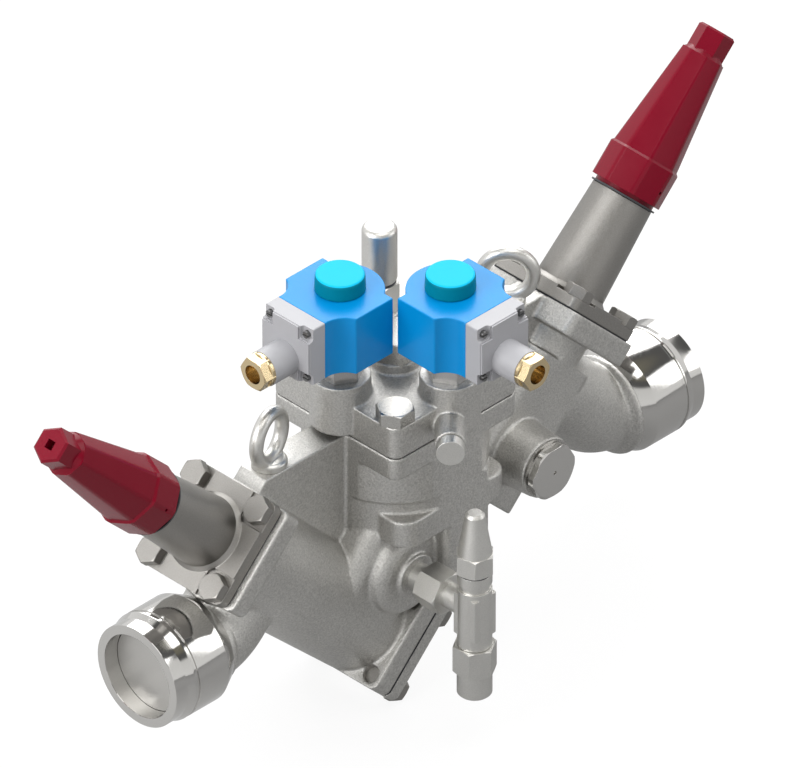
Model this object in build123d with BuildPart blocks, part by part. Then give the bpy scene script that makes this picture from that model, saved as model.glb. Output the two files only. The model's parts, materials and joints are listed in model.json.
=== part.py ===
from build123d import *
from math import atan, cos, degrees, radians, sin, sqrt
import os

# A welded-in valve station for refrigerant lines, in millimetres. One casting carries an inlet stop
# valve, a strainer, a pilot-operated main valve and an outlet stop valve, one after the other.
# Origin: centre of the inlet end face. +X runs along the pipe to the outlet, +Z is up.

os.makedirs("parts", exist_ok=True)

# Line and weld nipples
line_length = 508.0
pipe_radius = 38.05
pipe_bore = 31.2
nipple_radius = 40.3
nipple_length = 58.0
nipple_land = 10.8
nipple_barrel_start = 16.2
nipple_barrel_end = 47.4
nipple_tail_radius = 34.5
groove_start = 17.6
groove_width = 2.7
groove_depth = 0.8
passage_radius = 22.0
disc_depth = 12.0
disc_thickness = 4.0
disc_rim = 8.0
loose_gap = 0.3

# Elbows of the casting
elbow_radius = 30.5
elbow_bend = 34.0
elbow_angle = 45.0
inlet_collar_radius = 33.0
outlet_collar_radius = 37.0
collar_length = 6.0
collar_step = 1.5

# Stop valve seats and flanges, measured along each valve's own axis
inlet_axis_x = 152.5
outlet_axis_x = 299.0
inlet_flange_top = 112.0
outlet_flange_top = 149.5
flange_thickness = 16.9
bonnet_pitch = 60.0
flange_edge_width = 9.0
flange_edge_depth = 14.7
flange_width = bonnet_pitch + 2 * flange_edge_width
flange_depth = bonnet_pitch + 2 * flange_edge_depth
flange_corner = 6.0
chamber_radius = 24.0
seat_drop = 88.5
seat_bore = 17.5
seat_thickness = 6.0
belly_top_radius = 41.8
belly_foot_radius = 38.6
block_width = 74.0
block_depth = 61.0
block_corner = 12.0
block_foot = 8.0
block_top = 116.4
block_neck_radius = 31.0
lower_chamber_depth = 26.0

# Bonnet, cap and trim of a stop valve, heights above the body flange
gasket_thickness = 1.0
gasket_inset = 0.3
bonnet_edge = 9.5
bonnet_flange_side = bonnet_pitch + 2 * bonnet_edge
bonnet_flange_top = 11.2
bonnet_spot_depth = 2.2
bonnet_spot_side = 24.0
bonnet_spigot_depth = 18.0
neck_fillet_radius = 28.4
neck_foot_radius = 25.4
neck_top_radius = 22.7
neck_top = 85.0
stub_radius = 20.0
stub_top = 104.0
cap_gasket_radius = 24.4
cap_gasket_thickness = 1.2
cap_skirt_radius = 22.2
cap_band_bottom = 89.1
cap_band_top = 116.5
cap_band_apothem = 25.0
cap_cone_apothem = 23.4
cap_cone_top = 195.2
cap_tip_apothem = 15.1
cap_hex_bottom = 198.7
cap_hex_apothem = 11.9
cap_top = 215.2
cap_cavity_top = 172.0
cap_cavity_radius = 11.5
cap_socket_side = 6.5
cap_socket_depth = 8.0
cone_radius = 21.5
cone_thickness = 12.0
cone_socket_depth = 8.3
spindle_radius = 8.0
spindle_top = 140.0
spindle_square = 9.0
spindle_square_length = 14.0
gland_radius = 12.0
gland_foot = 92.0
gland_head_height = 6.0
gland_head_flats = 22.0
running_fit = 0.06
rest_gap = 0.1
back_seat = -60.0
back_seat_radius = 11.0
cone_nose = 3.0
cone_height = 16.0
cap_corner_ratio = 1.05
cap_tip_chamfer = 1.5
cap_vent_height = 10.0
cap_vent_radius = 1.2
locating_fit = 0.1

# M12 bolts of the bonnets and the strainer cover
small_bolt_radius = 6.0
small_bolt_flats = 18.0
small_bolt_head = 8.0
small_bolt_reach = 15.0
head_chamfer = 0.08
bolt_hole_gap = 0.5
thread_gap = 0.1

# Strainer, measured down the inlet valve's axis
strainer_plate_top = 78.8
strainer_plate_bottom = 95.7
strainer_cover_bottom = 106.9
strainer_pitch_width = 58.0
strainer_pitch_depth = 69.0
strainer_edge_width = 9.3
strainer_edge_depth = 10.2
strainer_plate_width = strainer_pitch_width + 2 * strainer_edge_width
strainer_plate_depth = strainer_pitch_depth + 2 * strainer_edge_depth
strainer_chamber_radius = 31.0
strainer_spigot = 4.0
basket_radius = 25.0
basket_wall = 1.2
basket_rim = 4.0
basket_slot_rows = 4
basket_slot_count = 8
basket_slot_height = 16.0
basket_slot_width = 9.0

# Main valve column
main_x = 246.0
gasket_plane = 112.4
main_bolt_pitch = 96.0
main_bolt_edge = 11.6
main_flange_side = main_bolt_pitch + 2 * main_bolt_edge
main_flange_corner = 8.0
column_radius = 64.0
column_step_radius = 61.6
column_step_height = 63.6
hall_wall_radius = 42.0
housing_foot = -36.0
shoulder_width = 102.0
shoulder_corner = 14.0
shoulder_bottom = 33.0
shoulder_top = 53.7
panel_left = 236.0
panel_right = 279.0
panel_corner = 6.0
underside_drop = 90.0
inlet_hall_radius = 30.0
inlet_hall_floor = 8.0
strainer_way_drop = 48.0
bridge_drop = 38.5
bridge_height = 79.0
bridge_depth = 77.0
bridge_corner = 15.0
strainer_way_length = 75.0
insert_foot = 20.0
insert_radius = 44.0
annulus_radius = 50.0
annulus_bottom = 33.0
annulus_top = 74.0
outlet_passage_z = 44.0
outlet_passage_radius = 13.0
outlet_passage_end = 322.0

# Insert, piston and spring
insert_seat_bore = 24.0
insert_seat_top = 30.0
insert_guide_bore = 32.0
insert_window_width = 34.0
insert_window_bottom = 35.0
insert_window_top = 70.0
insert_top = 108.9
piston_height = 56.0
piston_wall = 5.0
piston_floor = 9.0
piston_nose = 4.0
spring_radius = 19.0
spring_wire = 1.6
spring_turns = 5

# Top cover
cover_top = 138.1
cover_spigot = 4.0
main_bolt_radius = 8.0
main_bolt_flats = 24.0
main_bolt_head = 10.0
main_bolt_reach = 15.0
pilot_offset = 52.5
pilot_boss_radius = 21.0
pilot_boss_bottom = 116.0
pilot_boss_top = 154.4
collar_radius = 18.5
collar_top = 146.0
centre_plug_flats = 33.5
centre_plug_top = 162.5
centre_plug_shank = 12.0
centre_plug_length = 18.0
plug_boss_z = 125.2
plug_boss_radius = 10.6
plug_boss_reach = 44.0
plug_reach = 54.0
plug_radius = 9.8
plug_shank = 7.0
plug_shank_length = 16.0

# Pilot valves and their coils
tube_hex_flats = 29.0
tube_hex_top = 170.0
tube_collar_radius = 13.5
tube_collar_top = 178.0
tube_radius = 7.5
tube_top = 222.0
tube_bore = 5.5
tube_bore_bottom = 141.0
tube_bore_top = 204.0
tube_shank_radius = 10.0
tube_shank_bottom = 134.0
tube_port = 3.0
plunger_gap = 0.1
plunger_bottom = 143.0
plunger_top = 200.0
plunger_pocket = 3.6
plunger_pocket_depth = 14.0
plunger_spring_radius = 2.9
plunger_spring_wire = 0.4
plunger_spring_turns = 6
coil_bottom = 178.4
coil_top = 223.8
coil_half_width = 33.8
coil_flat_front = -18.3
coil_flat_back = 16.9
coil_back_radius = 30.5
coil_waist = 3.0
box_front = -52.0
box_back = -36.8
box_half_width = 22.5
box_face_step = 1.4
box_screw_inset = 5.0
box_screw_radius = 2.6
box_screw_length = 12.0
gland_axis_z = 193.5
box_tube_radius = 12.9
box_tube_front = -73.0
cable_gland_flats = 22.0
cable_gland_front = -82.9
cable_gland_bore = 7.0
cable_gland_shank = 9.0
cable_gland_length = 12.0
knob_radius = 17.5
knob_top = 236.0
knob_gap = 0.3

# Manual opener on the cover
opener_x = 20.3
opener_y = 35.4
opener_pedestal_radius = 16.0
opener_pedestal_top = 155.7
opener_hex_flats = 24.6
opener_hex_top = 177.3
opener_shank_radius = 10.0
opener_shank_bottom = 148.0
opener_stub_radius = 8.5
opener_stub_top = 190.0
opener_seal_thickness = 1.2
opener_cap_radius = 12.2
opener_cap_top = 222.0
opener_cavity_top = 214.0
opener_bore_bottom = 128.0
opener_spindle_radius = 4.0
opener_spindle_top = 203.0
opener_plunger_radius = 5.5
opener_plunger_bottom = 130.0
opener_plunger_top = 140.0
opener_socket_depth = 6.3
opener_dome = 4.5

# Side plug in its boss on the front of the outlet block
side_plug_x = 333.0
side_plug_z = 34.1
side_boss_root = 24.4
side_boss_tip = 22.3
side_boss_face = 58.0
side_plug_shank = 14.0
side_plug_washer = 1.6
side_plug_flats = 38.0
side_plug_round = 20.4
side_plug_edge = 1.2
side_plug_face = 66.6
side_plug_length = 20.0

# Service valve on the front of the column
service_x = 215.6
service_y = -106.4
service_boss_face = 51.7
service_boss_radius = 16.0
service_shank = 8.0
service_shank_length = 12.0
service_guide_length = 10.0
service_stub_radius = 10.0
service_hex_start = 62.0
service_hex_end = 82.0
service_hex_flats = 28.0
service_neck_radius = 9.0
service_body_radius = 12.0
service_body_half = 10.5
service_body_top = 14.9
service_body_bottom = -18.3
service_stem_top = 32.0
service_foot = -27.6
service_bore = 5.0
service_stub = 7.5
service_stub_top = 42.0
service_cap_bottom = 33.2
service_cap_hex_top = 48.1
service_cap_flats = 24.4
service_cap_turn = 45.0
service_cap_top = 80.6
service_cap_foot_radius = 12.0
service_cap_tip_radius = 6.8
service_cavity_top = 68.0
service_needle_seat = -14.0
service_needle_height = 10.0
service_socket_depth = 6.0
service_seat_bore = 3.0
service_tail_foot = -40.0
service_groove_low = 19.0
service_groove_high = 24.0
service_spindle_radius = 3.0
service_spindle_top = 56.0
service_nut_top = -27.8
service_nut_bottom = -49.4
service_nut_flats = 27.0
service_nut_turn = 30.0
service_tail_radius = 12.2
service_tail_bottom = -68.4
service_tail_bore = 8.0

# Webs and lifting eyes
web_thickness = 25.0
left_web_top = gasket_plane
left_web_face = 108.8
right_web_top = 133.4
right_web_start = 318.0
right_web_end = 376.8
right_web_shelf = 95.5
eye_section = 5.0
eye_mean_radius = 17.5
eye_height = 45.0
eye_collar_radius = 12.5
eye_collar_height = 6.0
eye_shank_radius = 5.0
eye_shank_length = 17.0
left_eye_x = 125.9
left_eye_turn = 15.8
right_eye_x = 353.9
right_eye_turn = -45.0


# Directions: rise leans 45 degrees toward the outlet, lean 45 degrees toward the inlet
along = Vector(1, 0, 0)
across = Vector(0, 1, 0)
rise = Vector(1, 0, 1).normalized()
lean = Vector(-1, 0, 1).normalized()
front = Vector(0, -1, 0)

inlet_valve = Plane(origin=(inlet_axis_x, 0, 0), x_dir=rise, z_dir=lean)
strainer = Plane(origin=(inlet_axis_x, 0, 0), x_dir=-rise, z_dir=-lean)
outlet_valve = Plane(origin=(outlet_axis_x, 0, 0), x_dir=-lean, z_dir=rise)
main_valve = Plane(origin=(main_x, 0, 0), x_dir=along, z_dir=(0, 0, 1))
inlet_run = Plane(origin=(0, 0, 0), x_dir=across, z_dir=along)
outlet_run = Plane(origin=(line_length, 0, 0), x_dir=across, z_dir=-along)


def turned(base, outline):
    """Face to turn about the base plane's normal; outline holds (radius, height) points."""
    side = Plane(origin=base.origin, x_dir=base.x_dir, z_dir=-base.y_dir)
    with BuildSketch(side) as section:
        with BuildLine():
            Polyline(*outline, close=True)
        make_face()
    return section.sketch


def centre_line(base):
    return Axis(base.origin, base.z_dir)


def hexagon(base, height, flats, turn=0):
    with BuildSketch(base.offset(height)) as section:
        RegularPolygon(radius=flats / 2, side_count=6, major_radius=False, rotation=turn)
    return section.sketch


def rounded_square(base, height, width, depth, corner):
    with BuildSketch(base.offset(height)) as section:
        RectangleRounded(width, depth, corner)
    return section.sketch


def save(piece, name):
    piece.part.label = name
    export_step(piece.part, f"parts/{name}.step")


def elbow(run, turn_axis_dir, exit_dir, radius, length):
    """Bend and straight run of one elbow as solids made of a circle of the given radius."""
    start = run.offset(nipple_length)
    with BuildSketch(start) as ring:
        Circle(radius)
    bend_axis = Axis((start.origin.X, 0, elbow_bend), turn_axis_dir)
    turn = radians(elbow_angle)
    exit_point = (start.origin + run.z_dir * elbow_bend * sin(turn)
                  + Vector(0, 0, elbow_bend * (1 - cos(turn))))
    with BuildSketch(Plane(origin=exit_point, x_dir=across, z_dir=exit_dir)) as mouth:
        Circle(radius)
    with BuildPart() as pipe:
        revolve(profiles=ring.sketch, axis=bend_axis, revolution_arc=elbow_angle)
        extrude(to_extrude=mouth.sketch, amount=length)
    return pipe.part


bend_rise = elbow_bend * (1 - cos(radians(elbow_angle)))
bend_run = nipple_length + elbow_bend * sin(radians(elbow_angle))
inlet_elbow_reach = (inlet_axis_x - bend_run - bend_rise) / sqrt(2)
outlet_elbow_reach = (line_length - outlet_axis_x - bend_run - bend_rise) / sqrt(2)


# Main housing: stepped column, shoulders, front panel and the bridge from the inlet belly, cut along
# the slanted underside
strainer_way = Plane(origin=inlet_valve.origin - lean * strainer_way_drop, x_dir=across, z_dir=rise)
with BuildPart() as main_housing:
    for radius, low, high in ((hall_wall_radius, housing_foot, shoulder_bottom),
                              (column_step_radius, shoulder_bottom, column_step_height),
                              (column_radius, column_step_height, gasket_plane - flange_thickness)):
        with BuildSketch(main_valve.offset(low)) as column:
            Circle(radius)
            Rectangle(main_flange_side, main_flange_side, mode=Mode.INTERSECT)
        extrude(amount=high - low)
    extrude(to_extrude=rounded_square(main_valve, shoulder_bottom, shoulder_width, main_flange_side,
                                      shoulder_corner), amount=shoulder_top - shoulder_bottom)
    panel_middle = Plane(origin=((panel_left + panel_right) / 2, 0, housing_foot))
    extrude(to_extrude=rounded_square(panel_middle, 0, panel_right - panel_left, main_flange_side,
                                      panel_corner), amount=column_step_height - housing_foot)
    bridge = Plane(origin=inlet_valve.origin - lean * bridge_drop, x_dir=across, z_dir=rise)
    extrude(to_extrude=rounded_square(bridge, 0, bridge_depth, bridge_height, bridge_corner),
            amount=(main_x - inlet_axis_x) * sqrt(2) - strainer_way_drop)
    split(bisect_by=Plane(origin=inlet_valve.origin - lean * underside_drop, z_dir=lean), keep=Keep.TOP)


# Valve body: one steel casting with every passage bored
with BuildPart() as valve_body:
    for run, collar in ((inlet_run, inlet_collar_radius), (outlet_run, outlet_collar_radius)):
        revolve(profiles=turned(run.offset(nipple_length), [
            (0, 0), (collar, 0), (collar, collar_length / 2),
            (elbow_radius + collar_step, collar_length), (0, collar_length),
        ]), axis=centre_line(run))
    add(elbow(inlet_run, front, rise, elbow_radius, inlet_elbow_reach))
    add(elbow(outlet_run, across, lean, elbow_radius, outlet_elbow_reach))
    # Inlet belly, from the bonnet flange down to the strainer plate
    revolve(profiles=turned(inlet_valve, [
        (0, -strainer_plate_top), (belly_foot_radius, -strainer_plate_top),
        (belly_top_radius, inlet_flange_top - flange_thickness), (0, inlet_flange_top - flange_thickness),
    ]), axis=centre_line(inlet_valve))
    extrude(to_extrude=rounded_square(inlet_valve, inlet_flange_top, flange_width, flange_depth,
                                      flange_corner), amount=-flange_thickness)
    extrude(to_extrude=rounded_square(strainer, strainer_plate_top, strainer_plate_width,
                                      strainer_plate_depth, flange_corner),
            amount=strainer_plate_bottom - strainer_plate_top)
    # Outlet block, its neck and its flange
    extrude(to_extrude=rounded_square(outlet_valve, block_foot, block_width, block_depth, block_corner),
            amount=block_top - block_foot)
    with BuildSketch(outlet_valve.offset(block_top)) as neck:
        Circle(block_neck_radius)
    extrude(amount=outlet_flange_top - flange_thickness - block_top)
    extrude(to_extrude=rounded_square(outlet_valve, outlet_flange_top, flange_width, flange_depth,
                                      flange_corner), amount=-flange_thickness)
    # Main housing under its square flange
    add(main_housing.part)
    extrude(to_extrude=rounded_square(main_valve, gasket_plane, main_flange_side, main_flange_side,
                                      main_flange_corner), amount=-flange_thickness)
    # Webs that carry the lifting eyes
    web_foot_x = inlet_axis_x - left_web_face / sqrt(2)
    with BuildSketch(Plane.XZ) as left_web:
        with BuildLine():
            Polyline((inlet_axis_x - left_web_face * sqrt(2) + left_web_top, left_web_top),
                     (main_x - column_radius / 2, left_web_top), (main_x - column_radius / 2, 0),
                     (inlet_axis_x, 0), (web_foot_x, left_web_face / sqrt(2)), close=True)
        make_face()
    extrude(amount=web_thickness / 2, both=True)
    with BuildSketch(Plane.XZ) as right_web:
        with BuildLine():
            Polyline((main_x + column_radius / 2, 0), (main_x + column_radius / 2, right_web_shelf),
                     (right_web_start, right_web_shelf), (right_web_start, right_web_top),
                     (right_web_end, right_web_top),
                     (outlet_axis_x + block_top / sqrt(2), block_top / sqrt(2)),
                     (outlet_axis_x + block_foot, block_foot), close=True)
        make_face()
    extrude(amount=web_thickness / 2, both=True)
    # Bosses on the front
    with BuildSketch(Plane(origin=(service_x, 0, 0), x_dir=along, z_dir=front)) as service_boss:
        Circle(service_boss_radius)
    extrude(amount=service_boss_face)
    side_boss = Plane(origin=(side_plug_x, 0, side_plug_z), x_dir=along, z_dir=front)
    revolve(profiles=turned(side_boss, [
        (0, 0), (side_boss_root, 0), (side_boss_root, block_depth / 2), (side_boss_tip, side_boss_face),
        (0, side_boss_face),
    ]), axis=centre_line(side_boss))
    # Passages
    add(elbow(inlet_run, front, rise, passage_radius, inlet_elbow_reach), mode=Mode.SUBTRACT)
    add(elbow(outlet_run, across, lean, passage_radius, outlet_elbow_reach), mode=Mode.SUBTRACT)
    for valve, top in ((inlet_valve, inlet_flange_top), (outlet_valve, outlet_flange_top)):
        seat = top - seat_drop
        with BuildSketch(valve.offset(seat)) as chamber:
            Circle(chamber_radius)
        extrude(amount=seat_drop, mode=Mode.SUBTRACT)
        with BuildSketch(valve.offset(seat - seat_thickness)) as throat:
            Circle(seat_bore)
        extrude(amount=seat_thickness, mode=Mode.SUBTRACT)
    outlet_hall_top = outlet_flange_top - seat_drop - seat_thickness
    with BuildSketch(outlet_valve.offset(outlet_hall_top)) as outlet_hall:
        Circle(passage_radius)
    extrude(amount=-lower_chamber_depth, mode=Mode.SUBTRACT)
    strainer_hall_top = inlet_flange_top - seat_drop - seat_thickness
    with BuildSketch(inlet_valve.offset(strainer_hall_top)) as strainer_hall:
        Circle(strainer_chamber_radius)
    extrude(amount=-(strainer_hall_top + strainer_plate_bottom), mode=Mode.SUBTRACT)
    with BuildSketch(main_valve.offset(inlet_hall_floor)) as inlet_hall:
        Circle(inlet_hall_radius)
    extrude(amount=insert_foot - inlet_hall_floor, mode=Mode.SUBTRACT)
    with BuildSketch(main_valve.offset(insert_foot)) as insert_seatway:
        Circle(insert_radius)
    extrude(amount=gasket_plane - insert_foot, mode=Mode.SUBTRACT)
    with BuildSketch(main_valve.offset(annulus_bottom)) as annulus:
        Circle(annulus_radius)
    extrude(amount=annulus_top - annulus_bottom, mode=Mode.SUBTRACT)
    with BuildSketch(strainer_way) as cross_way:
        Circle(passage_radius)
    extrude(amount=strainer_way_length, mode=Mode.SUBTRACT)
    with BuildSketch(Plane(origin=(main_x, 0, outlet_passage_z), x_dir=across, z_dir=along)) as outlet_way:
        Circle(outlet_passage_radius)
    extrude(amount=outlet_passage_end - main_x, mode=Mode.SUBTRACT)
    with BuildSketch(side_boss) as side_way:
        Circle(side_plug_shank + thread_gap)
    extrude(amount=side_boss_face, mode=Mode.SUBTRACT)
    with BuildSketch(Plane(origin=(service_x, 0, 0), x_dir=along, z_dir=front)) as service_way:
        Circle(service_shank + thread_gap)
    extrude(amount=service_boss_face, mode=Mode.SUBTRACT)
    # Threaded holes for the bolts and eyes
    for valve, top in ((inlet_valve, inlet_flange_top), (outlet_valve, outlet_flange_top)):
        with BuildSketch(valve.offset(top)) as bonnet_holes:
            with GridLocations(bonnet_pitch, bonnet_pitch, 2, 2):
                Circle(small_bolt_radius + thread_gap)
        extrude(amount=-flange_thickness, mode=Mode.SUBTRACT)
    with BuildSketch(strainer.offset(strainer_plate_bottom)) as strainer_holes:
        with GridLocations(strainer_pitch_width, strainer_pitch_depth, 2, 2):
            Circle(small_bolt_radius + thread_gap)
    extrude(amount=strainer_plate_top - strainer_plate_bottom, mode=Mode.SUBTRACT)
    with BuildSketch(main_valve.offset(gasket_plane)) as main_holes:
        with GridLocations(main_bolt_pitch, main_bolt_pitch, 2, 2):
            Circle(main_bolt_radius + thread_gap)
    extrude(amount=-flange_thickness, mode=Mode.SUBTRACT)
    for eye_x, eye_z in ((left_eye_x, left_web_top), (right_eye_x, right_web_top)):
        with BuildSketch(Plane(origin=(eye_x, 0, eye_z))) as eye_hole:
            Circle(eye_shank_radius + thread_gap)
        extrude(amount=-eye_shank_length - 1, mode=Mode.SUBTRACT)
save(valve_body, "valve_body")


def weld_nipple(run):
    with BuildPart() as nipple:
        revolve(profiles=turned(run, [
            (pipe_bore, 0), (pipe_radius, 0), (pipe_radius, nipple_land),
            (nipple_radius, nipple_barrel_start), (nipple_radius, groove_start),
            (nipple_radius - groove_depth, groove_start),
            (nipple_radius - groove_depth, groove_start + groove_width),
            (nipple_radius, groove_start + groove_width), (nipple_radius, nipple_barrel_end),
            (nipple_tail_radius, nipple_length), (passage_radius, nipple_length),
            (pipe_bore, nipple_barrel_end),
        ]), axis=centre_line(run))
    return nipple


def blanking_disc(run):
    with BuildPart() as disc:
        edge = pipe_bore - loose_gap
        revolve(profiles=turned(run.offset(disc_depth), [
            (0, 0), (edge, 0), (edge, disc_thickness + disc_rim),
            (edge - disc_thickness / 2, disc_thickness + disc_rim),
            (edge - disc_thickness / 2, disc_thickness), (0, disc_thickness),
        ]), axis=centre_line(run))
    return disc


for side, run in (("inlet", inlet_run), ("outlet", outlet_run)):
    save(weld_nipple(run), f"{side}_weld_nipple")
    save(blanking_disc(run), f"{side}_blanking_disc")


def stop_valve(side, valve, top):
    """Bonnet, gasket, closing cone, spindle, gland nut and cap of one stop valve."""
    base = valve.offset(top)
    axis = centre_line(base)
    seat = loose_gap - seat_drop

    with BuildPart() as gasket:
        with BuildSketch(base) as gasket_face:
            RectangleRounded(flange_width - 2 * gasket_inset, bonnet_flange_side - 2 * gasket_inset,
                             flange_corner)
            Circle(chamber_radius, mode=Mode.SUBTRACT)
            with GridLocations(bonnet_pitch, bonnet_pitch, 2, 2):
                Circle(small_bolt_radius + bolt_hole_gap, mode=Mode.SUBTRACT)
        extrude(amount=gasket_thickness)
    save(gasket, f"{side}_bonnet_gasket")

    with BuildPart() as bonnet:
        extrude(to_extrude=rounded_square(base, gasket_thickness, bonnet_flange_side, bonnet_flange_side,
                                          flange_corner), amount=bonnet_flange_top - gasket_thickness)
        spigot = chamber_radius - locating_fit
        revolve(profiles=turned(base, [
            (0, -bonnet_spigot_depth), (spigot, -bonnet_spigot_depth), (spigot, gasket_thickness),
            (neck_fillet_radius, gasket_thickness), (neck_fillet_radius, bonnet_flange_top),
            (neck_foot_radius, bonnet_flange_top + neck_fillet_radius - neck_foot_radius),
            (neck_top_radius, neck_top), (stub_radius, neck_top), (stub_radius, stub_top), (0, stub_top),
        ]), axis=axis)
        with BuildSketch(base.offset(bonnet_flange_top)) as spot_faces:
            with GridLocations(bonnet_pitch, bonnet_pitch, 2, 2):
                Rectangle(bonnet_spot_side, bonnet_spot_side)
        extrude(amount=-bonnet_spot_depth, mode=Mode.SUBTRACT)
        with BuildSketch(base.offset(bonnet_flange_top)) as bolt_holes:
            with GridLocations(bonnet_pitch, bonnet_pitch, 2, 2):
                Circle(small_bolt_radius + bolt_hole_gap)
        extrude(amount=-bonnet_flange_top, mode=Mode.SUBTRACT)
        with BuildSketch(base.offset(-bonnet_spigot_depth)) as stem_bore:
            Circle(spindle_radius + running_fit)
        extrude(amount=bonnet_spigot_depth + stub_top, mode=Mode.SUBTRACT)
        with BuildSketch(base.offset(gland_foot)) as gland_bore:
            Circle(gland_radius + thread_gap)
        extrude(amount=stub_top - gland_foot, mode=Mode.SUBTRACT)
    save(bonnet, f"{side}_bonnet")

    with BuildPart() as cone:
        revolve(profiles=turned(base, [
            (0, seat - cone_nose), (seat_bore - 4, seat - cone_nose), (seat_bore - 2, seat),
            (cone_radius, seat),
            (cone_radius, seat + cone_thickness - 2), (cone_radius - 4, seat + cone_thickness),
            (spindle_radius + 4, seat + cone_thickness), (spindle_radius + 4, seat + cone_height),
            (spindle_radius + running_fit, seat + cone_height),
            (spindle_radius + running_fit, seat + cone_height - cone_socket_depth),
            (0, seat + cone_height - cone_socket_depth),
        ]), axis=axis)
    save(cone, f"{side}_cone")

    with BuildPart() as spindle:
        foot = seat + cone_height - cone_socket_depth + loose_gap
        revolve(profiles=turned(base, [
            (0, foot), (spindle_radius, foot), (spindle_radius, back_seat), (back_seat_radius, back_seat),
            (back_seat_radius, back_seat + 3), (spindle_radius, back_seat + 6),
            (spindle_radius, spindle_top - spindle_square_length), (0, spindle_top - spindle_square_length),
        ]), axis=axis)
        with BuildSketch(base.offset(spindle_top - spindle_square_length)) as square_end:
            Rectangle(spindle_square, spindle_square)
        extrude(amount=spindle_square_length)
    save(spindle, f"{side}_spindle")

    with BuildPart() as gland_nut:
        with BuildSketch(base.offset(gland_foot)) as thread:
            Circle(gland_radius)
        extrude(amount=stub_top - gland_foot)
        extrude(to_extrude=hexagon(base, stub_top, gland_head_flats), amount=gland_head_height)
        with BuildSketch(base.offset(gland_foot)) as stem_way:
            Circle(spindle_radius + running_fit)
        extrude(amount=stub_top + gland_head_height - gland_foot, mode=Mode.SUBTRACT)
    save(gland_nut, f"{side}_gland_nut")

    gasket_foot = neck_top + rest_gap
    with BuildPart() as cap_gasket:
        with BuildSketch(base.offset(gasket_foot)) as ring:
            Circle(cap_gasket_radius)
            Circle(stub_radius + loose_gap, mode=Mode.SUBTRACT)
        extrude(amount=cap_gasket_thickness)
    save(cap_gasket, f"{side}_cap_gasket")

    cap_foot = gasket_foot + cap_gasket_thickness + rest_gap
    cone_rise = cap_cone_top - cap_band_top
    taper_angle = degrees(atan((cap_cone_apothem - cap_tip_apothem) / cone_rise))
    with BuildPart() as taper:
        revolve(profiles=turned(base, [
            (0, cap_band_top), (cap_cone_apothem * cap_corner_ratio, cap_band_top),
            (cap_tip_apothem * cap_corner_ratio, cap_cone_top), (0, cap_cone_top),
        ]), axis=axis)
        with BuildSketch(base.offset(cap_band_top)) as facets:
            RegularPolygon(radius=cap_cone_apothem, side_count=8, major_radius=False)
        extrude(amount=cone_rise, taper=taper_angle, mode=Mode.INTERSECT)
    with BuildPart() as cap:
        with BuildSketch(base.offset(cap_band_bottom)) as band:
            RegularPolygon(radius=cap_band_apothem, side_count=8, major_radius=False)
            Circle(cap_band_apothem * cap_corner_ratio, mode=Mode.INTERSECT)
        extrude(amount=cap_band_top - cap_band_bottom)
        chamfer(cap.faces().sort_by(axis)[-1].edges(), cap_band_apothem - cap_cone_apothem)
        with BuildSketch(base.offset(cap_foot)) as skirt:
            Circle(cap_skirt_radius)
        extrude(amount=cap_band_bottom - cap_foot)
        add(taper.part)
        extrude(to_extrude=hexagon(base, cap_cone_top, 2 * cap_hex_apothem), amount=cap_top - cap_cone_top)
        chamfer(cap.faces().sort_by(axis)[-1].edges(), cap_tip_chamfer)
        revolve(profiles=turned(base, [
            (0, cap_cone_top), (cap_tip_apothem, cap_cone_top), (cap_hex_apothem, cap_hex_bottom),
            (0, cap_hex_bottom),
        ]), axis=axis)
        with BuildSketch(base.offset(cap_top)) as key_socket:
            Rectangle(cap_socket_side, cap_socket_side)
        extrude(amount=-cap_socket_depth, mode=Mode.SUBTRACT)
        revolve(profiles=turned(base, [
            (0, cap_foot), (stub_radius + loose_gap, cap_foot),
            (stub_radius + loose_gap, stub_top + gland_head_height), (cap_cavity_radius, cap_cavity_top),
            (0, cap_cavity_top),
        ]), axis=axis, mode=Mode.SUBTRACT)
        vent_plane = Plane(origin=base.offset(cap_band_bottom + cap_vent_height).origin, x_dir=base.z_dir,
                           z_dir=-base.y_dir)
        with BuildSketch(vent_plane) as vent:
            Circle(cap_vent_radius)
        extrude(amount=cap_band_apothem * 2, mode=Mode.SUBTRACT)
    save(cap, f"{side}_cap")


stop_valve("inlet", inlet_valve, inlet_flange_top)
stop_valve("outlet", outlet_valve, outlet_flange_top)


def hex_bolt(radius, flats, head, shank):
    """Hex bolt with its head standing on the origin and its shank pointing down."""
    with BuildPart() as bolt:
        extrude(to_extrude=hexagon(Plane.XY, 0, flats), amount=head)
        corner = flats / sqrt(3)
        revolve(profiles=turned(Plane.XY, [
            (0, 0), (corner, 0), (corner, head - corner * head_chamfer),
            (corner - 2 * corner * head_chamfer, head),
            (0, head),
        ]), axis=Axis.Z, mode=Mode.INTERSECT)
        with BuildSketch() as stem:
            Circle(radius)
        extrude(amount=-shank)
    return bolt.part


# Bolts of both bonnets and of the strainer cover, all of one size
bonnet_seat = bonnet_flange_top - bonnet_spot_depth
small_bolt = hex_bolt(small_bolt_radius, small_bolt_flats, small_bolt_head, bonnet_seat + small_bolt_reach)
with BuildPart() as flange_bolts:
    for plane, pitch_x, pitch_y in (
            (inlet_valve.offset(inlet_flange_top + bonnet_seat), bonnet_pitch, bonnet_pitch),
            (outlet_valve.offset(outlet_flange_top + bonnet_seat), bonnet_pitch, bonnet_pitch),
            (strainer.offset(strainer_cover_bottom), strainer_pitch_width, strainer_pitch_depth)):
        with Locations(plane):
            with GridLocations(pitch_x, pitch_y, 2, 2):
                add(small_bolt)
save(flange_bolts, "flange_bolts")


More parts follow.
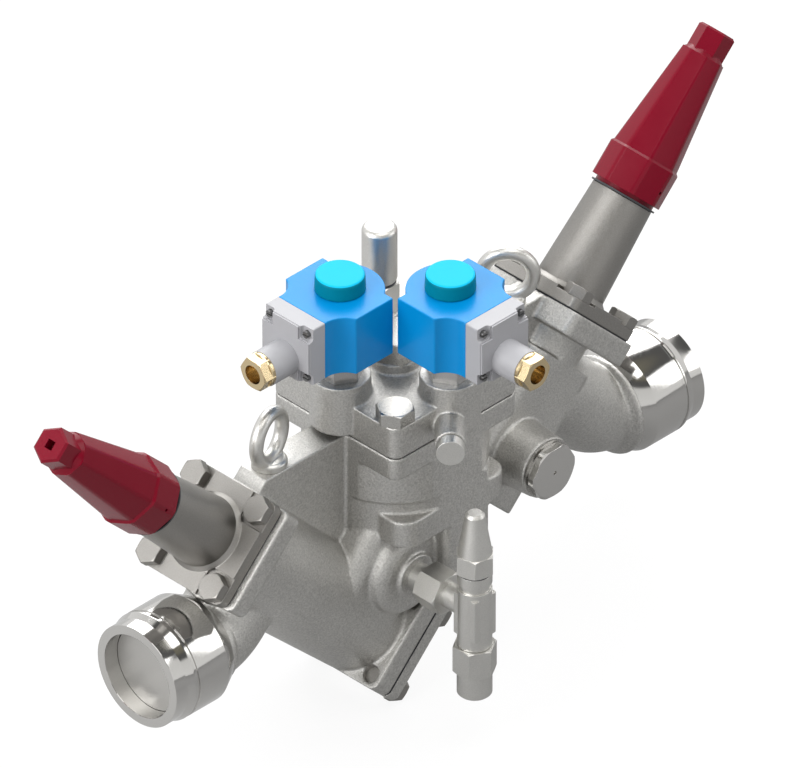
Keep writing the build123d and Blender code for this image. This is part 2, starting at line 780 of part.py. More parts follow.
# Strainer cover, gasket and basket
with BuildPart() as strainer_gasket:
    with BuildSketch(strainer.offset(strainer_plate_bottom)) as seal_face:
        RectangleRounded(strainer_plate_width - 2 * gasket_inset,
                         strainer_plate_depth - 2 * gasket_inset, flange_corner)
        Circle(strainer_chamber_radius, mode=Mode.SUBTRACT)
        with GridLocations(strainer_pitch_width, strainer_pitch_depth, 2, 2):
            Circle(small_bolt_radius + bolt_hole_gap, mode=Mode.SUBTRACT)
    extrude(amount=gasket_thickness)
save(strainer_gasket, "strainer_gasket")

cover_inside = strainer_plate_bottom + gasket_thickness
with BuildPart() as strainer_cover:
    extrude(to_extrude=rounded_square(strainer, cover_inside, strainer_plate_width, strainer_plate_depth,
                                      flange_corner),
            amount=strainer_cover_bottom - cover_inside)
    with BuildSketch(strainer.offset(cover_inside)) as spigot:
        Circle(strainer_chamber_radius - locating_fit)
    extrude(amount=-strainer_spigot)
    with BuildSketch(strainer.offset(strainer_cover_bottom)) as cover_holes:
        with GridLocations(strainer_pitch_width, strainer_pitch_depth, 2, 2):
            Circle(small_bolt_radius + bolt_hole_gap)
    extrude(amount=-strainer_cover_bottom + cover_inside, mode=Mode.SUBTRACT)
save(strainer_cover, "strainer_cover")

basket_head = loose_gap - strainer_hall_top
basket_foot = cover_inside - strainer_spigot
with BuildPart() as strainer_basket:
    rim_edge = strainer_chamber_radius - 2 * loose_gap
    bore = basket_radius - basket_wall
    revolve(profiles=turned(strainer, [
        (bore, basket_head), (rim_edge, basket_head), (rim_edge, basket_head + basket_rim),
        (basket_radius, basket_head + basket_rim), (basket_radius, basket_foot - basket_rim),
        (rim_edge, basket_foot - basket_rim), (rim_edge, basket_foot), (bore, basket_foot),
    ]), axis=centre_line(strainer))
    row_pitch = (basket_foot - basket_head - 2 * basket_rim) / basket_slot_rows
    for row in range(basket_slot_rows):
        with Locations(strainer.offset(basket_head + basket_rim + (row + 0.5) * row_pitch)):
            with PolarLocations(basket_radius, basket_slot_count):
                Box(4 * basket_wall, basket_slot_width, basket_slot_height, mode=Mode.SUBTRACT)
save(strainer_basket, "strainer_basket")


# Insert, piston and spring of the main valve
main_axis = centre_line(main_valve)
with BuildPart() as valve_insert:
    sleeve = insert_radius - locating_fit
    revolve(profiles=turned(main_valve, [
        (insert_seat_bore, insert_foot), (sleeve, insert_foot), (sleeve, insert_top),
        (insert_guide_bore, insert_top), (insert_guide_bore, insert_seat_top),
        (insert_seat_bore, insert_seat_top),
    ]), axis=main_axis)
    window_height = insert_window_top - insert_window_bottom
    for facing in (along, across):
        window_plane = Plane(origin=(main_x, 0, insert_window_bottom + window_height / 2),
                             x_dir=facing.cross(Vector(0, 0, 1)), z_dir=facing)
        with BuildSketch(window_plane) as window:
            Rectangle(insert_window_width, window_height)
        extrude(amount=insert_radius, both=True, mode=Mode.SUBTRACT)
save(valve_insert, "valve_insert")

piston_foot = insert_seat_top + loose_gap
piston_top = piston_foot + piston_height
with BuildPart() as main_piston:
    skirt = insert_guide_bore - running_fit
    revolve(profiles=turned(main_valve, [
        (0, piston_foot - piston_nose), (insert_seat_bore - 3, piston_foot - piston_nose),
        (insert_seat_bore - 1.5, piston_foot), (skirt, piston_foot), (skirt, piston_top),
        (skirt - piston_wall, piston_top), (skirt - piston_wall, piston_foot + piston_floor),
        (0, piston_foot + piston_floor),
    ]), axis=main_axis)
save(main_piston, "main_piston")


def spring(base, low, high, radius, wire, turns):
    """Helical spring standing between two heights on a plane's normal."""
    with BuildPart() as coil:
        with BuildLine() as path:
            Helix(pitch=(high - low - 2 * wire) / turns, height=high - low - 2 * wire, radius=radius,
                  center=base.offset(low + wire).origin, direction=base.z_dir)
        with BuildSketch(Plane(origin=path.line @ 0, z_dir=path.line % 0)) as wire_section:
            Circle(wire)
        sweep()
    return coil


cover_foot = gasket_plane + gasket_thickness
piston_spring = spring(main_valve, piston_foot + piston_floor, cover_foot - cover_spigot, spring_radius,
                       spring_wire, spring_turns)
save(piston_spring, "piston_spring")

with BuildPart() as top_gasket:
    with BuildSketch(main_valve.offset(gasket_plane)) as top_seal_face:
        RectangleRounded(main_flange_side - 2, main_flange_side - 2, main_flange_corner)
        Circle(insert_radius, mode=Mode.SUBTRACT)
        with GridLocations(main_bolt_pitch, main_bolt_pitch, 2, 2):
            Circle(main_bolt_radius + bolt_hole_gap, mode=Mode.SUBTRACT)
    extrude(amount=gasket_thickness)
save(top_gasket, "top_gasket")


# Pilot positions: each box faces away from the cover, along its plane's -y
left_pilot = Plane(origin=(main_x - pilot_offset, 0, 0), x_dir=-across, z_dir=(0, 0, 1))
right_pilot = Plane(origin=(main_x, -pilot_offset, 0), x_dir=along, z_dir=(0, 0, 1))
opener = Plane(origin=(main_x + opener_x, opener_y, 0), x_dir=along, z_dir=(0, 0, 1))
plug_way = Plane(origin=(main_x, -pilot_offset, plug_boss_z), x_dir=(1, -1, 0), z_dir=(-1, -1, 0))

# Top cover with its pilot bosses, centre collar and opener pedestal
with BuildPart() as top_cover:
    extrude(to_extrude=rounded_square(main_valve, cover_foot, main_flange_side, main_flange_side,
                                      main_flange_corner), amount=cover_top - cover_foot)
    with BuildSketch(main_valve.offset(cover_foot)) as cover_spigot_face:
        Circle(insert_radius - 2 * locating_fit)
    extrude(amount=-cover_spigot)
    for pilot in (left_pilot, right_pilot):
        with BuildSketch(pilot.offset(pilot_boss_bottom)) as boss:
            Circle(pilot_boss_radius)
        extrude(amount=pilot_boss_top - pilot_boss_bottom)
    with BuildSketch(main_valve.offset(cover_top)) as collar:
        Circle(collar_radius)
    extrude(amount=collar_top - cover_top)
    with BuildSketch(opener.offset(cover_top)) as pedestal:
        Circle(opener_pedestal_radius)
    extrude(amount=opener_pedestal_top - cover_top)
    with BuildSketch(plug_way) as plug_boss:
        Circle(plug_boss_radius)
    extrude(amount=plug_boss_reach)
    # Bolt holes and bores
    with BuildSketch(main_valve.offset(cover_top)) as cover_bolt_holes:
        with GridLocations(main_bolt_pitch, main_bolt_pitch, 2, 2):
            Circle(main_bolt_radius + bolt_hole_gap)
    extrude(amount=cover_foot - cover_top, mode=Mode.SUBTRACT)
    for pilot in (left_pilot, right_pilot):
        with BuildSketch(pilot.offset(pilot_boss_top)) as pilot_bore:
            Circle(tube_shank_radius + thread_gap)
        extrude(amount=tube_shank_bottom - pilot_boss_top, mode=Mode.SUBTRACT)
    with BuildSketch(main_valve.offset(collar_top)) as centre_bore:
        Circle(centre_plug_shank + thread_gap)
    extrude(amount=-centre_plug_length, mode=Mode.SUBTRACT)
    with BuildSketch(opener.offset(opener_pedestal_top)) as opener_thread:
        Circle(opener_shank_radius + thread_gap)
    extrude(amount=opener_shank_bottom - opener_pedestal_top, mode=Mode.SUBTRACT)
    with BuildSketch(opener.offset(opener_shank_bottom)) as opener_bore:
        Circle(opener_plunger_radius + running_fit)
    extrude(amount=opener_bore_bottom - opener_shank_bottom, mode=Mode.SUBTRACT)
    with BuildSketch(plug_way.offset(plug_boss_reach)) as plug_bore:
        Circle(plug_shank + thread_gap)
    extrude(amount=-plug_shank_length, mode=Mode.SUBTRACT)
save(top_cover, "top_cover")

main_bolt = hex_bolt(main_bolt_radius, main_bolt_flats, main_bolt_head,
                     cover_top - gasket_plane + main_bolt_reach)
with BuildPart() as top_bolts:
    with Locations(main_valve.offset(cover_top)):
        with GridLocations(main_bolt_pitch, main_bolt_pitch, 2, 2):
            add(main_bolt)
save(top_bolts, "top_bolts")

with BuildPart() as centre_plug:
    extrude(to_extrude=hexagon(main_valve, collar_top, centre_plug_flats),
            amount=centre_plug_top - collar_top)
    corner = centre_plug_flats / sqrt(3)
    revolve(profiles=turned(main_valve, [
        (0, collar_top), (corner, collar_top), (corner, centre_plug_top - corner * head_chamfer),
        (corner - 2 * corner * head_chamfer, centre_plug_top), (0, centre_plug_top),
    ]), axis=main_axis, mode=Mode.INTERSECT)
    with BuildSketch(main_valve.offset(collar_top)) as centre_shank:
        Circle(centre_plug_shank)
    extrude(amount=loose_gap - centre_plug_length)
save(centre_plug, "centre_plug")

with BuildPart() as pilot_plug:
    revolve(profiles=turned(plug_way, [
        (0, plug_boss_reach - plug_shank_length + 1), (plug_shank, plug_boss_reach - plug_shank_length + 1),
        (plug_shank, plug_boss_reach), (plug_radius - 1.2, plug_boss_reach),
        (plug_radius - 1.2, plug_boss_reach + 1.5),
        (plug_radius, plug_boss_reach + 1.5), (plug_radius, plug_reach), (0, plug_reach),
    ]), axis=centre_line(plug_way))
save(pilot_plug, "pilot_plug")


def pilot_valve(side, base):
    """Armature tube, plunger, coil, terminal box, cable gland and knob of one solenoid pilot."""
    axis = centre_line(base)
    with BuildPart() as tube:
        extrude(to_extrude=hexagon(base, pilot_boss_top, tube_hex_flats),
                amount=tube_hex_top - pilot_boss_top)
        revolve(profiles=turned(base, [
            (0, tube_shank_bottom), (tube_shank_radius, tube_shank_bottom),
            (tube_shank_radius, pilot_boss_top),
            (tube_collar_radius, pilot_boss_top), (tube_collar_radius, tube_collar_top),
            (tube_radius, tube_collar_top), (tube_radius, tube_top), (0, tube_top),
        ]), axis=axis)
        with BuildSketch(base.offset(tube_bore_bottom)) as armature_bore:
            Circle(tube_bore)
        extrude(amount=tube_bore_top - tube_bore_bottom, mode=Mode.SUBTRACT)
        with BuildSketch(base.offset(tube_shank_bottom)) as port:
            Circle(tube_port)
        extrude(amount=tube_bore_bottom - tube_shank_bottom, mode=Mode.SUBTRACT)
    save(tube, f"{side}_armature_tube")

    with BuildPart() as plunger:
        radius = tube_bore - plunger_gap
        revolve(profiles=turned(base, [
            (0, plunger_bottom - 1.5), (tube_port - 1.5, plunger_bottom - 1.5), (tube_port, plunger_bottom),
            (radius, plunger_bottom), (radius, plunger_top), (plunger_pocket, plunger_top),
            (plunger_pocket, plunger_top - plunger_pocket_depth), (0, plunger_top - plunger_pocket_depth),
        ]), axis=axis)
    save(plunger, f"{side}_plunger")

    with BuildPart() as coil:
        with BuildSketch(base.offset(coil_bottom)) as footprint:
            with BuildLine():
                shoulder = sqrt(coil_back_radius ** 2 - coil_flat_back ** 2)
                waist_x = box_half_width + coil_waist
                waist_y = (box_back + coil_flat_front) / 2 + coil_waist
                Polyline((-shoulder, coil_flat_back), (-coil_half_width, coil_flat_back),
                         (-coil_half_width, coil_flat_front))
                ThreePointArc((-coil_half_width, coil_flat_front), (-waist_x, waist_y),
                              (-box_half_width, box_back))
                Line((-box_half_width, box_back), (box_half_width, box_back))
                ThreePointArc((box_half_width, box_back), (waist_x, waist_y),
                (coil_half_width, coil_flat_front))
                Polyline((coil_half_width, coil_flat_front), (coil_half_width, coil_flat_back),
                         (shoulder, coil_flat_back))
                ThreePointArc((shoulder, coil_flat_back), (0, coil_back_radius), (-shoulder, coil_flat_back))
            make_face()
            Circle(tube_radius + loose_gap, mode=Mode.SUBTRACT)
        extrude(amount=coil_top - coil_bottom)
    save(coil, f"{side}_coil")

    box_middle = (coil_bottom + coil_top) / 2
    box_height = coil_top - coil_bottom
    face = Plane(origin=base.origin + base.z_dir * box_middle, x_dir=base.x_dir, z_dir=-base.y_dir)
    gland_plane = Plane(origin=base.origin + base.z_dir * gland_axis_z, x_dir=base.x_dir, z_dir=-base.y_dir)
    screw_x = 2 * (box_half_width - box_screw_inset)
    screw_z = box_height - 2 * box_screw_inset
    with BuildPart() as box:
        with BuildSketch(face.offset(-box_back)) as shell:
            RectangleRounded(2 * box_half_width, box_height, 1.0)
        extrude(amount=box_back - box_front - box_face_step)
        with BuildSketch(face.offset(-box_front - box_face_step)) as lid:
            Rectangle(2 * box_half_width - 1, box_height - 1)
            with GridLocations(screw_x, screw_z, 2, 2):
                Rectangle(2 * box_screw_inset + 1, 2 * box_screw_inset + 1, mode=Mode.SUBTRACT)
        extrude(amount=box_face_step)
        with BuildSketch(gland_plane.offset(-box_front - box_face_step)) as gland_tube:
            Circle(box_tube_radius)
        extrude(amount=box_front - box_tube_front + box_face_step)
        with BuildSketch(face.offset(-box_front)) as screw_holes:
            with GridLocations(screw_x, screw_z, 2, 2):
                Circle(box_screw_radius + thread_gap)
        extrude(amount=-box_screw_length, mode=Mode.SUBTRACT)
        with BuildSketch(gland_plane.offset(-box_tube_front)) as gland_bore:
            Circle(cable_gland_shank + thread_gap)
        extrude(amount=-cable_gland_length, mode=Mode.SUBTRACT)
    save(box, f"{side}_terminal_box")

    with BuildPart() as cable_gland:
        extrude(to_extrude=hexagon(gland_plane, -box_tube_front, cable_gland_flats),
                amount=box_tube_front - cable_gland_front)
        gland_corner = cable_gland_flats / sqrt(3)
        revolve(profiles=turned(gland_plane, [
            (0, -box_tube_front), (gland_corner, -box_tube_front), (gland_corner, -cable_gland_front - 1),
            (gland_corner - 2, -cable_gland_front), (0, -cable_gland_front),
        ]), axis=centre_line(gland_plane), mode=Mode.INTERSECT)
        with BuildSketch(gland_plane.offset(-box_tube_front)) as gland_shank:
            Circle(cable_gland_shank)
        extrude(amount=loose_gap - cable_gland_length)
        with BuildSketch(gland_plane.offset(-cable_gland_front)) as cable_way:
            Circle(cable_gland_bore)
        extrude(amount=-cable_gland_length, mode=Mode.SUBTRACT)
    save(cable_gland, f"{side}_cable_gland")

    with BuildPart() as knob:
        revolve(profiles=turned(base, [
            (0, coil_top + knob_gap), (knob_radius, coil_top + knob_gap), (knob_radius - 0.4, knob_top - 1.2),
            (knob_radius - 1.6, knob_top), (0, knob_top),
        ]), axis=axis)
    save(knob, f"{side}_coil_knob")
    return face.offset(-box_front - box_face_step), screw_x, screw_z


screw_faces = [pilot_valve("left", left_pilot), pilot_valve("right", right_pilot)]

# Cover screws of both terminal boxes
with BuildPart() as terminal_box_screws:
    for face, screw_x, screw_z in screw_faces:
        with BuildSketch(face) as heads:
            with GridLocations(screw_x, screw_z, 2, 2):
                Circle(box_screw_radius)
        extrude(amount=-box_screw_length + box_face_step + loose_gap)
        with BuildSketch(face) as slots:
            with GridLocations(screw_x, screw_z, 2, 2):
                Rectangle(2 * box_screw_radius, 0.8)
        extrude(amount=-0.8, mode=Mode.SUBTRACT)
save(terminal_box_screws, "terminal_box_screws")

# Return springs of both plungers
with BuildPart() as plunger_springs:
    for pilot in (left_pilot, right_pilot):
        add(spring(pilot, plunger_top - plunger_pocket_depth, tube_bore_top, plunger_spring_radius,
                   plunger_spring_wire, plunger_spring_turns).part)
save(plunger_springs, "plunger_springs")


# Manual opener
opener_axis = centre_line(opener)
with BuildPart() as opener_gland:
    extrude(to_extrude=hexagon(opener, opener_pedestal_top, opener_hex_flats),
            amount=opener_hex_top - opener_pedestal_top)
    with BuildSketch(opener.offset(opener_shank_bottom)) as opener_shank:
        Circle(opener_shank_radius)
    extrude(amount=opener_pedestal_top - opener_shank_bottom)
    with BuildSketch(opener.offset(opener_hex_top)) as opener_stub:
        Circle(opener_stub_radius)
    extrude(amount=opener_stub_top - opener_hex_top)
    with BuildSketch(opener.offset(opener_shank_bottom)) as opener_way:
        Circle(opener_spindle_radius + running_fit)
    extrude(amount=opener_stub_top - opener_shank_bottom, mode=Mode.SUBTRACT)
save(opener_gland, "opener_gland")

with BuildPart() as opener_plunger:
    revolve(profiles=turned(opener, [
        (0, opener_plunger_bottom), (opener_plunger_radius, opener_plunger_bottom),
        (opener_plunger_radius, opener_plunger_top),
        (opener_spindle_radius + running_fit, opener_plunger_top),
        (opener_spindle_radius + running_fit, opener_plunger_top - opener_socket_depth),
        (0, opener_plunger_top - opener_socket_depth),
    ]), axis=opener_axis)
save(opener_plunger, "opener_plunger")

with BuildPart() as opener_spindle:
    spindle_foot = opener_plunger_top - opener_socket_depth + loose_gap
    with BuildSketch(opener.offset(spindle_foot)) as opener_stem:
        Circle(opener_spindle_radius)
    extrude(amount=opener_spindle_top - spindle_foot)
    with BuildSketch(opener.offset(opener_spindle_top)) as driver_slot:
        Rectangle(2 * opener_spindle_radius, 1.2)
    extrude(amount=-2, mode=Mode.SUBTRACT)
save(opener_spindle, "opener_spindle")


def seal_ring(base, low, inner, outer, thickness):
    with BuildPart() as ring:
        with BuildSketch(base.offset(low)) as section:
            Circle(outer)
            Circle(inner, mode=Mode.SUBTRACT)
        extrude(amount=thickness)
    return ring


opener_seal_foot = opener_hex_top + rest_gap
save(seal_ring(opener, opener_seal_foot, opener_stub_radius + loose_gap, opener_cap_radius - 0.6,
               opener_seal_thickness), "opener_cap_seal")

opener_cap_foot = opener_seal_foot + opener_seal_thickness + rest_gap
with BuildPart() as opener_cap:
    with BuildSketch(opener.offset(opener_cap_foot)) as cap_section:
        Circle(opener_cap_radius)
    extrude(amount=opener_cap_top - opener_cap_foot)
    fillet(opener_cap.faces().sort_by(Axis.Z)[-1].edges(), opener_dome)
    chamfer(opener_cap.faces().sort_by(Axis.Z)[0].edges(), 0.8)
    revolve(profiles=turned(opener, [
        (0, opener_cap_foot), (opener_stub_radius + loose_gap, opener_cap_foot),
        (opener_stub_radius + loose_gap, opener_stub_top + 2),
        (opener_spindle_radius + 2, opener_stub_top + 5),
        (opener_spindle_radius + 2, opener_cavity_top), (0, opener_cavity_top),
    ]), axis=opener_axis, mode=Mode.SUBTRACT)
save(opener_cap, "opener_cap")


# Side plug and its washer
save(seal_ring(side_boss, side_boss_face, side_plug_shank + thread_gap, side_boss_tip - 0.6,
               side_plug_washer), "side_plug_washer")
with BuildPart() as side_plug:
    head_foot = side_boss_face + side_plug_washer
    extrude(to_extrude=hexagon(side_boss, head_foot, side_plug_flats), amount=side_plug_face - head_foot)
    revolve(profiles=turned(side_boss, [
        (0, head_foot), (side_plug_round - side_plug_edge, head_foot),
        (side_plug_round, head_foot + side_plug_edge), (side_plug_round, side_plug_face - side_plug_edge),
        (side_plug_round - 2 * side_plug_edge, side_plug_face), (0, side_plug_face),
    ]), axis=centre_line(side_boss), mode=Mode.INTERSECT)
    with BuildSketch(side_boss.offset(head_foot)) as plug_thread:
        Circle(side_plug_shank)
    extrude(amount=-side_plug_length)
    with BuildSketch(side_boss.offset(side_plug_face)) as dimple:
        Circle(1.4)
    extrude(amount=-1.5, mode=Mode.SUBTRACT)
save(side_plug, "side_plug")


# Service valve
service_run = Plane(origin=(service_x, 0, 0), x_dir=along, z_dir=front)
service = Plane(origin=(service_x, service_y, 0), x_dir=along, z_dir=(0, 0, 1))
service_axis = centre_line(service)
with BuildPart() as service_fitting:
    valve_face = -service_y - service_body_half
    shank_foot = service_boss_face - service_shank_length
    revolve(profiles=turned(service_run, [
        (0, shank_foot), (service_shank, shank_foot), (service_shank, service_boss_face),
        (service_stub_radius, service_boss_face), (service_stub_radius, service_hex_start),
        (service_neck_radius, service_hex_start), (service_neck_radius, valve_face), (0, valve_face),
    ]), axis=centre_line(service_run))
    extrude(to_extrude=hexagon(service_run, service_hex_start, service_hex_flats),
            amount=service_hex_end - service_hex_start)
    with BuildSketch(service_run.offset(shank_foot)) as fitting_way:
        Circle(service_bore)
    extrude(amount=valve_face - shank_foot, mode=Mode.SUBTRACT)
    with BuildSketch(service.offset(service_body_bottom)) as saddle:
        Circle(service_body_radius)
    extrude(amount=service_body_top - service_body_bottom, mode=Mode.SUBTRACT)
save(service_fitting, "service_fitting")

with BuildPart() as service_valve_body:
    extrude(to_extrude=rounded_square(service, service_body_bottom, 2 * service_body_half,
                                      2 * service_body_half,
                                      1.5), amount=service_body_top - service_body_bottom)
    revolve(profiles=turned(service, [
        (0, service_tail_foot), (service_bore + 3, service_tail_foot), (service_bore + 3, service_foot),
        (service_body_radius, service_foot), (service_body_radius, service_groove_low),
        (service_body_radius - 1.5, service_groove_low), (service_body_radius - 1.5, service_groove_high),
        (service_body_radius, service_groove_high), (service_body_radius, service_stem_top),
        (service_stub, service_stem_top), (service_stub, service_stub_top), (0, service_stub_top),
    ]), axis=service_axis)
    with BuildSketch(Plane(origin=(service_x, service_y, 0), x_dir=-along, z_dir=across)) as side_port:
        Circle(service_bore - 1)
    extrude(amount=service_body_half, mode=Mode.SUBTRACT)
    revolve(profiles=turned(service, [
        (0, service_tail_foot), (service_seat_bore, service_tail_foot),
        (service_seat_bore, service_needle_seat),
        (service_bore, service_needle_seat), (service_bore, service_stem_top - service_guide_length),
        (service_spindle_radius + running_fit, service_stem_top - service_guide_length),
        (service_spindle_radius + running_fit, service_stub_top), (0, service_stub_top),
    ]), axis=service_axis, mode=Mode.SUBTRACT)
save(service_valve_body, "service_valve_body")

needle_foot = service_needle_seat + loose_gap
needle_socket = needle_foot + service_needle_height - service_socket_depth
with BuildPart() as service_needle:
    radius = service_bore - loose_gap
    revolve(profiles=turned(service, [
        (0, needle_foot - 3), (service_seat_bore - 1.5, needle_foot - 1),
        (service_seat_bore - 0.5, needle_foot),
        (radius, needle_foot + 1), (radius, needle_foot + service_needle_height),
        (service_spindle_radius + running_fit, needle_foot + service_needle_height),
        (service_spindle_radius + running_fit, needle_socket), (0, needle_socket),
    ]), axis=service_axis)
save(service_needle, "service_needle")

with BuildPart() as service_spindle:
    with BuildSketch(service.offset(needle_socket + loose_gap)) as stem:
        Circle(service_spindle_radius)
    extrude(amount=service_spindle_top - 6 - needle_socket - loose_gap)
    with BuildSketch(service.offset(service_spindle_top - 6)) as stem_square:
        Rectangle(service_spindle_radius * 1.3, service_spindle_radius * 1.3)
    extrude(amount=6)
save(service_spindle, "service_spindle")

service_seal_foot = service_stem_top + rest_gap
save(seal_ring(service, service_seal_foot, service_stub + loose_gap, service_body_radius,
               service_cap_bottom - service_seal_foot - rest_gap), "service_cap_seal")
with BuildPart() as service_cap:
    extrude(to_extrude=hexagon(service, service_cap_bottom, service_cap_flats, service_cap_turn),
            amount=service_cap_hex_top - service_cap_bottom)
    revolve(profiles=turned(service, [
        (0, service_cap_hex_top), (service_cap_foot_radius, service_cap_hex_top),
        (service_cap_tip_radius, service_cap_top - 2), (service_cap_tip_radius - 2, service_cap_top),
        (0, service_cap_top),
    ]), axis=service_axis)
    revolve(profiles=turned(service, [
        (0, service_cap_bottom), (service_stub + loose_gap, service_cap_bottom),
        (service_stub + loose_gap, service_stub_top + 2),
        (service_spindle_radius + 1.5, service_stub_top + 4),
        (service_spindle_radius + 1.5, service_cavity_top), (0, service_cavity_top),
    ]), axis=service_axis, mode=Mode.SUBTRACT)
save(service_cap, "service_cap")

with BuildPart() as service_outlet_nut:
    extrude(to_extrude=hexagon(service, service_nut_bottom, service_nut_flats, service_nut_turn),
            amount=service_nut_top - service_nut_bottom)
    revolve(profiles=turned(service, [
        (0, service_tail_bottom), (service_tail_radius - 1, service_tail_bottom),
        (service_tail_radius, service_tail_bottom + 1), (service_tail_radius, service_nut_bottom),
        (0, service_nut_bottom),
    ]), axis=service_axis)
    revolve(profiles=turned(service, [
        (0, service_tail_bottom), (service_tail_bore, service_tail_bottom),
        (service_tail_bore, service_nut_bottom), (service_seat_bore, service_nut_bottom),
        (service_seat_bore, service_tail_foot - loose_gap),
        (service_bore + 3 + thread_gap, service_tail_foot - loose_gap),
        (service_bore + 3 + thread_gap, service_nut_top), (0, service_nut_top),
    ]), axis=service_axis, mode=Mode.SUBTRACT)
save(service_outlet_nut, "service_outlet_nut")


# Lifting eyes screwed into the webs
with BuildPart() as lifting_eyebolts:
    for eye_x, eye_z, eye_turn in ((left_eye_x, left_web_top, left_eye_turn),
                                   (right_eye_x, right_web_top, right_eye_turn)):
        facing = Vector(cos(radians(eye_turn)), sin(radians(eye_turn)), 0)
        eye = Plane(origin=(eye_x, 0, eye_z), x_dir=facing, z_dir=(0, 0, 1))
        ring_height = eye_height - eye_mean_radius - eye_section
        ring_plane = eye.offset(ring_height)
        with BuildSketch(ring_plane) as ring_section:
            with Locations((eye_mean_radius, 0)):
                Circle(eye_section)
        revolve(profiles=ring_section.sketch, axis=Axis(ring_plane.origin, eye.y_dir))
        revolve(profiles=turned(eye, [
            (0, -eye_shank_length), (eye_shank_radius, -eye_shank_length), (eye_shank_radius, 0),
            (eye_collar_radius, 0), (eye_collar_radius, eye_collar_height - 1),
            (eye_collar_radius - 1, eye_collar_height), (0, eye_collar_height),
        ]), axis=centre_line(eye))
save(lifting_eyebolts, "lifting_eyebolts")
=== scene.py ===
import json
import math
import bpy
from mathutils import Matrix, Vector


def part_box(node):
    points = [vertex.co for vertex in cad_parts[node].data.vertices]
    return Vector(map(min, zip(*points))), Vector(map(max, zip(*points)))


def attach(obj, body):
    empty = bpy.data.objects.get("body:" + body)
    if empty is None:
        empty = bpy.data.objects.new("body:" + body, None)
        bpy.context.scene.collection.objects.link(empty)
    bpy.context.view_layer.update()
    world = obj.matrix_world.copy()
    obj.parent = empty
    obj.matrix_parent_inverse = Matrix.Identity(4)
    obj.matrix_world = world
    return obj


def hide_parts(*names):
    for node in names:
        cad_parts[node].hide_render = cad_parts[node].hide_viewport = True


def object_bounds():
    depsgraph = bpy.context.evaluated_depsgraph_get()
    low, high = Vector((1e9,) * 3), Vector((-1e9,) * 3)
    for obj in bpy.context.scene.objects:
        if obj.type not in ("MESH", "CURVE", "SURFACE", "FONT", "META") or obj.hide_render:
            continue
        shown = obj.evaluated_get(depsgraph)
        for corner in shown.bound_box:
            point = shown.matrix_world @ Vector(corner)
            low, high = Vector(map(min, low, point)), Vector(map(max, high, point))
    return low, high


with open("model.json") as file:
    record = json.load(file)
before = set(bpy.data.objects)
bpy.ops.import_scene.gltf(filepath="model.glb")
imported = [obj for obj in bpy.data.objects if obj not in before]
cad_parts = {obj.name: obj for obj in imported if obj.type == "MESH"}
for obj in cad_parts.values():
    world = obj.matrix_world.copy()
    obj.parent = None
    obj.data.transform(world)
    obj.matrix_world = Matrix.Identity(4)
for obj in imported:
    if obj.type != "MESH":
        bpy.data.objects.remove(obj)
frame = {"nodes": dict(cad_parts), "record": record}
cadBox = [[float(v) for v in corner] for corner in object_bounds()]
nodes = frame["nodes"]
bodyOf = {node: body for body, members in frame["record"]["behaviour"]["bodies"].items() for node in members}
slotOf = {part["node"]: part["material_slot"] for part in frame["record"]["subparts"]}
slotOf["flange_bolts"] = "forged_steel"  # as dark as the flanges that they hold
print("frame loaded")


# camera: nearly parallel, from the left and above
view = {"target": (0.2505, 0.0, 0.1161), "lens": 1000.0, "sensor": 36.0, "clipEnd": 60.0, "width": 0.5416,
        "azimuth": -45.0, "elevation": 35.264}


def setCamera():
    lens = bpy.data.cameras.new("studioCamera")
    lens.lens = view["lens"]
    lens.sensor_width = view["sensor"]
    lens.clip_end = view["clipEnd"]
    camera = bpy.data.objects.new("studioCamera", lens)
    turn, lift = math.radians(view["azimuth"]), math.radians(view["elevation"])
    back = Vector((math.sin(turn) * math.cos(lift), -math.cos(turn) * math.cos(lift), math.sin(lift)))
    reach = view["width"] * view["lens"] / view["sensor"]
    camera.location = Vector(view["target"]) + back * reach
    camera.rotation_euler = (-back).to_track_quat("-Z", "Y").to_euler()
    bpy.context.scene.collection.objects.link(camera)
    bpy.context.scene.camera = camera


class Value:  # a socket that takes part in sums as a number does
    def __init__(self, paint, socket):
        self.paint = paint
        self.socket = socket

    def sum(self, operation, other, swapped=False):
        pair = (other, self) if swapped else (self, other)
        return self.paint.node("ShaderNodeMath", {"operation": operation}, {0: pair[0], 1: pair[1]})["Value"]

    def __add__(self, other):
        return self.sum("ADD", other)

    def __radd__(self, other):
        return self.sum("ADD", other, True)

    def __sub__(self, other):
        return self.sum("SUBTRACT", other)

    def __rsub__(self, other):
        return self.sum("SUBTRACT", other, True)

    def __mul__(self, other):
        return self.sum("MULTIPLY", other)

    def __rmul__(self, other):
        return self.sum("MULTIPLY", other, True)

    def over(self, edge):
        return self.sum("GREATER_THAN", edge)


